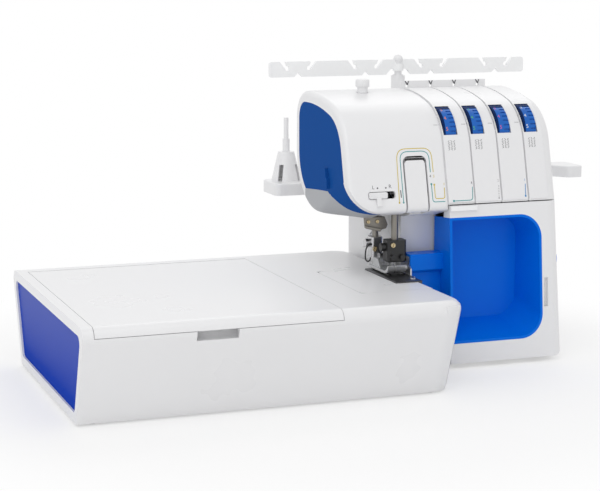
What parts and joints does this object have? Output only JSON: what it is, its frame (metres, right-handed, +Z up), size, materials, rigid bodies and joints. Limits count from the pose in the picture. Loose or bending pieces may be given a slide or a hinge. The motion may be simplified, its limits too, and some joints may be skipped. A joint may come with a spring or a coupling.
{
  "type": "overlock sewing machine with wide table",
  "caption": "Overlock sewing machine with tension dials, hinged front cover, telescopic thread stand and a slide-on wide table with lid.",
  "frame": {"origin": "on the floor plane straight below the needles, on the underside of the foot under the free arm", "axes": "+X to the right as the user sits, +Y to the back, +Z up"},
  "size_m": [0.6485, 0.3619, 0.2961],
  "materials": {
    "white_plastic": "gloss moulded plastic",
    "blue_plastic": "gloss moulded plastic",
    "steel": "ground and polished",
    "lens": "frosted",
    "dark_plastic": "matte moulded plastic",
    "rubber": "matte",
    "belt_rubber": "matte",
    "cast_aluminium": "as cast",
    "bronze": "sintered",
    "motor_case": "satin",
    "black_metal": "satin black",
    "clear_plastic": "frosted translucent plastic"
  },
  "bodies": {
    "machine": {"base_plate": "dark_plastic", "machine_feet": "rubber", "upper_front_cover": "white_plastic", "rear_cover": "white_plastic", "right_cover": "white_plastic", "face_cover": "blue_plastic", "lamp_lens": "lens", "take_up_cover": "white_plastic", "bed_cover": "white_plastic", "needle_plate": "steel", "lower_knife": "steel", "spool_tray": "white_plastic", "spool_pins": "white_plastic", "spool_cones": "white_plastic", "post_lower": "white_plastic", "top_thread_guide": "white_plastic", "tension_posts": "steel", "main_frame": "cast_aluminium", "shaft_bushes": "bronze", "drive_belt": "belt_rubber", "motor": "motor_case", "power_inlet": "dark_plastic"},
    "drive": {"main_shaft": "steel", "drive_pulley": "dark_plastic", "handwheel": "white_plastic"},
    "motor_rotor": {"motor_pulley": "steel"},
    "needle_unit": {"needle_bar": "steel", "needle_clamp": "black_metal", "needles": "steel"},
    "take_up": {"take_up_lever": "steel"},
    "upper_looper_body": {"upper_looper": "steel"},
    "lower_looper_body": {"lower_looper": "steel"},
    "upper_knife_body": {"upper_knife": "steel"},
    "feed": {"feed_dogs": "steel"},
    "lifter": {"lifter_lever": "white_plastic"},
    "presser": {"presser_bar": "steel", "foot_holder": "steel"},
    "foot": {"presser_foot": "steel"},
    "dial_1": {"tension_dial_1": "blue_plastic"},
    "dial_2": {"tension_dial_2": "blue_plastic"},
    "dial_3": {"tension_dial_3": "blue_plastic"},
    "dial_4": {"tension_dial_4": "blue_plastic"},
    "pressure": {"pressure_knob": "white_plastic"},
    "selector": {"needle_selector": "white_plastic"},
    "cover_rod": {"cover_hinge_rod": "steel"},
    "cover": {"front_cover": "white_plastic", "front_cover_tray": "blue_plastic", "looper_guard": "blue_plastic", "thread_clip": "steel"},
    "table": {"table_tub": "white_plastic", "table_end_panel": "blue_plastic", "lid_hinge_pin": "steel", "table_feet": "rubber"},
    "lid": {"table_lid": "white_plastic"},
    "post_1": {"post_middle": "white_plastic"},
    "post_2": {"post_upper": "white_plastic", "thread_bar": "clear_plastic"},
    "stitch": {"stitch_dial": "blue_plastic"},
    "diff_lever": {"feed_lever": "blue_plastic"},
    "switch": {"power_switch": "dark_plastic"}
  },
  "joints": [
    {"name": "handwheel_turn", "type": "hinge", "parent": "machine", "child": "drive", "pos_m": [0.15, 0.06, 0.062], "axis": [1, 0, 0], "continuous": true},
    {"name": "motor_turn", "type": "hinge", "parent": "machine", "child": "motor_rotor", "pos_m": [0.13, 0.112, 0.036], "axis": [1, 0, 0], "continuous": true},
    {"name": "needle_stroke", "type": "slide", "parent": "machine", "child": "needle_unit", "axis": [0, 0, 1], "range_m": [-0.004, 0.02]},
    {"name": "take_up_swing", "type": "hinge", "parent": "machine", "child": "take_up", "pos_m": [0.0045, 0.008, 0.206], "axis": [-1, 0, 0], "range_deg": [-2.4, 12]},
    {"name": "upper_looper_swing", "type": "hinge", "parent": "machine", "child": "upper_looper_body", "pos_m": [0.036, 0, 0.03], "axis": [0, -1, 0], "range_deg": [-1, 5]},
    {"name": "lower_looper_swing", "type": "hinge", "parent": "machine", "child": "lower_looper_body", "pos_m": [0.03, 0.005, 0.052], "axis": [0, 1, 0], "range_deg": [-1.2, 6]},
    {"name": "upper_knife_stroke", "type": "slide", "parent": "machine", "child": "upper_knife_body", "axis": [0, 0, 1], "range_m": [-0.001, 0.005]},
    {"name": "feed_stroke", "type": "slide", "parent": "machine", "child": "feed", "axis": [0, 1, 0], "range_m": [-0.0005, 0.0025]},
    {"name": "lifter_turn", "type": "hinge", "parent": "machine", "child": "lifter", "pos_m": [0, 0.044, 0.139], "axis": [1, 0, 0], "range_deg": [0, 40]},
    {"name": "presser_lift", "type": "slide", "parent": "machine", "child": "presser", "axis": [0, 0, 1], "range_m": [0, 0.006]},
    {"name": "foot_tilt", "type": "hinge", "parent": "presser", "child": "foot", "pos_m": [-0.004, 0.019, 0.102], "axis": [1, 0, 0], "range_deg": [-5, 2.5]},
    {"name": "dial_1_turn", "type": "hinge", "parent": "machine", "child": "dial_1", "pos_m": [0.0535, 0.0163, 0.2261], "axis": [1, 0, 0], "range_deg": [-150, 150]},
    {"name": "dial_2_turn", "type": "hinge", "parent": "machine", "child": "dial_2", "pos_m": [0.0825, 0.0163, 0.2261], "axis": [1, 0, 0], "range_deg": [-150, 150]},
    {"name": "dial_3_turn", "type": "hinge", "parent": "machine", "child": "dial_3", "pos_m": [0.1115, 0.0163, 0.2261], "axis": [1, 0, 0], "range_deg": [-150, 150]},
    {"name": "dial_4_turn", "type": "hinge", "parent": "machine", "child": "dial_4", "pos_m": [0.1405, 0.0163, 0.2261], "axis": [1, 0, 0], "range_deg": [-150, 150]},
    {"name": "pressure_turn", "type": "hinge", "parent": "machine", "child": "pressure", "pos_m": [-0.008, 0.066, 0.272], "axis": [0, 0, 1], "range_deg": [-360, 360]},
    {"name": "selector_slide", "type": "slide", "parent": "machine", "child": "selector", "axis": [1, 0, 0], "range_m": [0, 0.008]},
    {"name": "cover_shift", "type": "slide", "parent": "machine", "child": "cover_rod", "axis": [1, 0, 0], "range_m": [0, 0.006]},
    {"name": "cover_open", "type": "hinge", "parent": "cover_rod", "child": "cover", "pos_m": [0.1, -0.029, 0.011], "axis": [1, 0, 0], "range_deg": [0, 75]},
    {"name": "table_slide", "type": "slide", "parent": "machine", "child": "table", "axis": [-1, 0, 0], "range_m": [0, 0.085]},
    {"name": "lid_open", "type": "hinge", "parent": "table", "child": "lid", "pos_m": [-0.223, 0.127, 0.0888], "axis": [-1, 0, 0], "range_deg": [0, 95]},
    {"name": "post_1_rise", "type": "slide", "parent": "machine", "child": "post_1", "axis": [0, 0, 1], "range_m": [0, 0.085]},
    {"name": "post_2_rise", "type": "slide", "parent": "post_1", "child": "post_2", "axis": [0, 0, 1], "range_m": [0, 0.085]},
    {"name": "stitch_turn", "type": "hinge", "parent": "machine", "child": "stitch", "pos_m": [0.165, 0.008, 0.096], "axis": [1, 0, 0], "range_deg": [-135, 135]},
    {"name": "diff_turn", "type": "hinge", "parent": "machine", "child": "diff_lever", "pos_m": [0.15, 0.112, 0.07], "axis": [1, 0, 0], "range_deg": [-20, 20]},
    {"name": "switch_rock", "type": "hinge", "parent": "machine", "child": "switch", "pos_m": [0.16588, 0.103, 0.034], "axis": [0, 1, 0], "range_deg": [-7, 7]}
  ],
  "couplings": [
    {"joint": "motor_turn", "follows": "handwheel_turn", "ratio": 4},
    {"joint": "take_up_swing", "follows": "needle_stroke", "rad_per_m": 10.385},
    {"joint": "upper_looper_swing", "follows": "needle_stroke", "rad_per_m": 4.3197},
    {"joint": "lower_looper_swing", "follows": "needle_stroke", "rad_per_m": 5.1924},
    {"joint": "upper_knife_stroke", "follows": "needle_stroke", "ratio": 0.249},
    {"joint": "feed_stroke", "follows": "needle_stroke", "ratio": 0.1249},
    {"joint": "lifter_turn", "follows": "presser_lift", "rad_per_m": 116.06}
  ]
}
